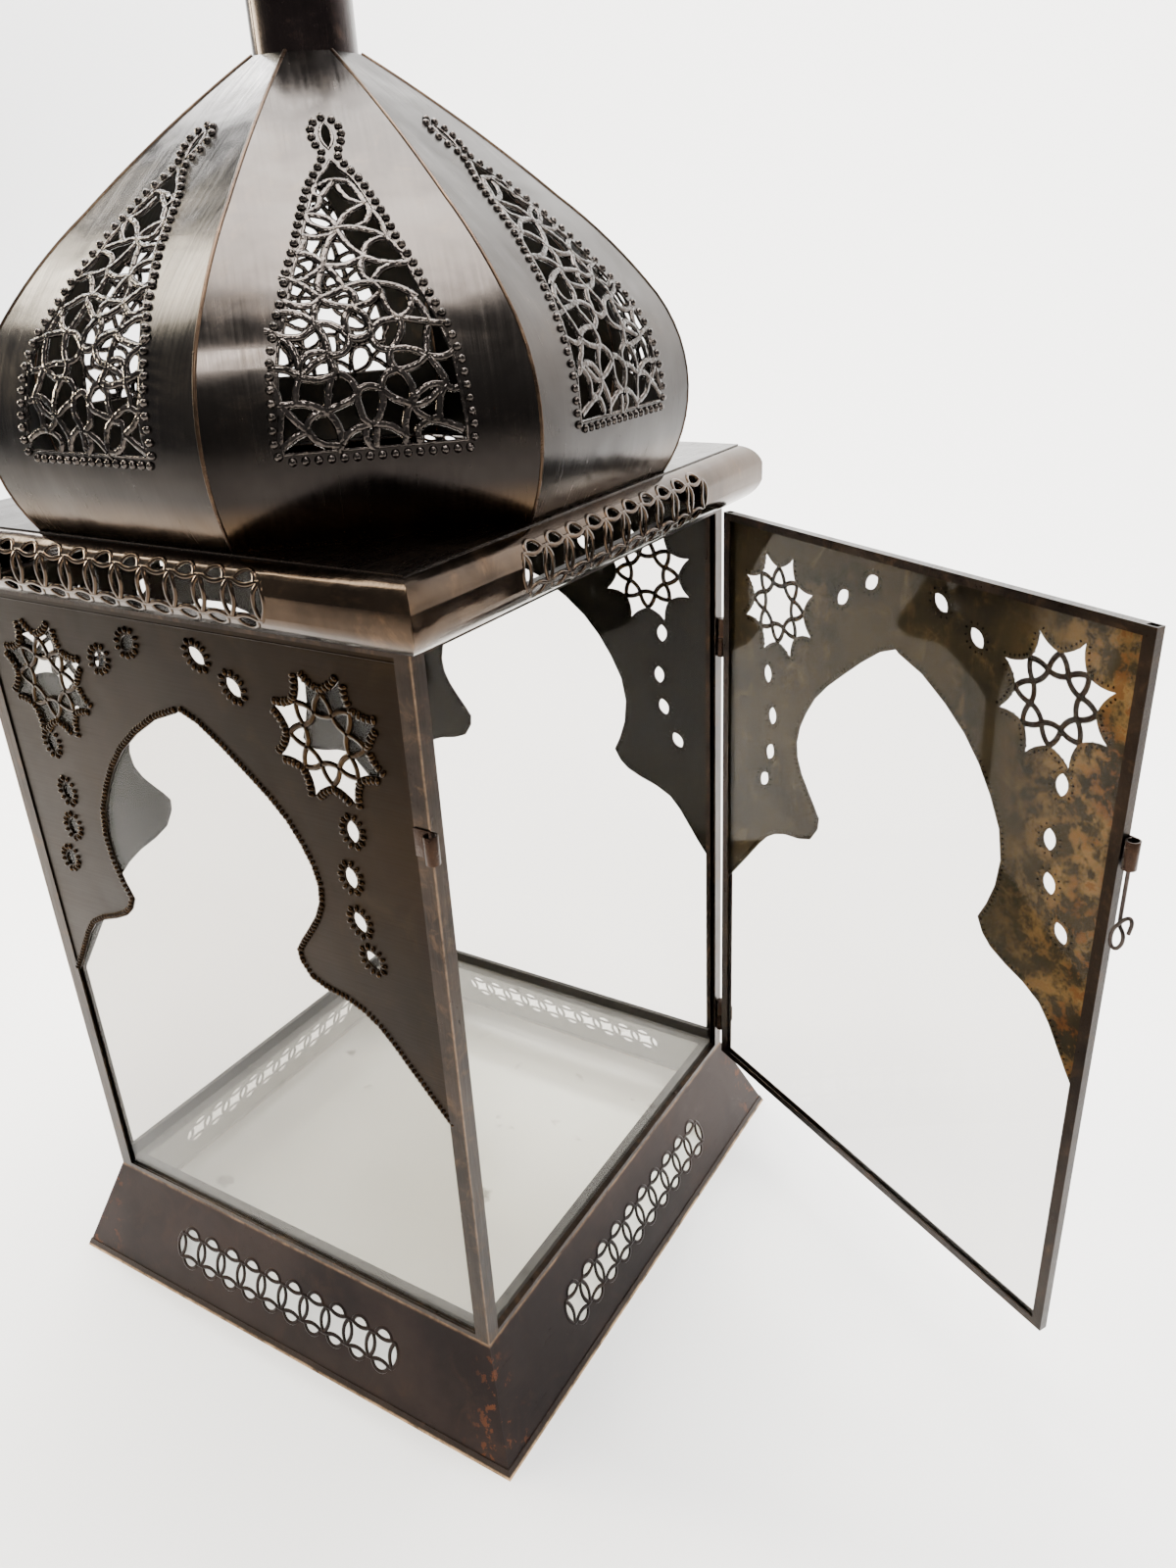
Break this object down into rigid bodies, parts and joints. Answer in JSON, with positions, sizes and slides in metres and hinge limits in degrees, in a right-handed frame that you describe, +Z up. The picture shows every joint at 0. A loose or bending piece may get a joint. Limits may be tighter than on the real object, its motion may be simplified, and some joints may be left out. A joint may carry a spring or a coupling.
{
  "type": "floor lantern",
  "caption": "Square candle lantern of pierced sheet metal with glass panes, a hinged glazed door, a flared skirt, a domed pierced roof and a carrying ring.",
  "frame": {"origin": "centre of the base's flat underside, on the floor", "axes": "+Z up, -Y out of the front, +X towards the door's side"},
  "size_m": [0.5946, 0.3504, 0.7703],
  "materials": {
    "hem": "dark bronze with worn coppery edges",
    "skirt": "dark bronze, satin, with small rust spots",
    "frame": "dark bronze, satin, worn at the folds",
    "panel": "dark bronze, satin, with a row of pressed beads",
    "cornice": "dark bronze, polished on the curve",
    "dome": "dark bronze, glossy, brushed",
    "wire": "dull drawn wire",
    "glass": "clear with slight smudges",
    "floor_glass": "clear with dust"
  },
  "bodies": {
    "lantern": {"base_hem": "hem", "skirt_front": "skirt", "skirt_right": "skirt", "skirt_back": "skirt", "skirt_left": "skirt", "rail_bottom_front": "frame", "rail_bottom_right": "frame", "rail_bottom_back": "frame", "rail_bottom_left": "frame", "floor_glass": "floor_glass", "post_front_right": "frame", "post_back_right": "frame", "post_back_left": "frame", "post_front_left": "frame", "rail_top_front": "frame", "rail_top_right": "frame", "rail_top_back": "frame", "rail_top_left": "frame", "pane_front": "glass", "pane_left": "glass", "pane_back": "glass", "arch_front": "panel", "arch_left": "panel", "arch_back": "panel", "cornice_front": "cornice", "cornice_right": "cornice", "cornice_back": "cornice", "cornice_left": "cornice", "roof_plate": "dome", "dome_gore_1": "dome", "dome_gore_2": "dome", "dome_gore_3": "dome", "dome_gore_4": "dome", "dome_gore_5": "dome", "dome_gore_6": "dome", "dome_gore_7": "dome", "dome_gore_8": "dome", "neck_tube": "dome", "neck_cap": "dome", "ring_eye": "wire", "hinge_knuckles_post": "frame", "hinge_pins": "wire", "latch_keeper": "frame"},
    "door": {"door_stile_hinge": "frame", "door_stile_latch": "frame", "door_rail_top": "frame", "door_rail_bottom": "frame", "door_pane": "glass", "door_arch": "panel", "hinge_knuckles_door": "frame", "latch_barrel": "frame"},
    "latch_pin": {"latch_pin": "wire"},
    "carry_ring": {"carry_ring": "wire"}
  },
  "joints": [
    {"name": "door_hinge", "type": "hinge", "parent": "lantern", "child": "door", "pos_m": [0.153, 0.144, 0.26], "axis": [0, 0, 1], "range_deg": [-61, 114]},
    {"name": "latch_slide", "type": "slide", "parent": "door", "child": "latch_pin", "axis": [0, 0, 1], "range_m": [0, 0.016]},
    {"name": "ring_swing", "type": "hinge", "parent": "lantern", "child": "carry_ring", "pos_m": [0, 0, 0.763], "axis": [-1, 0, 0], "range_deg": [0, 280]}
  ]
}
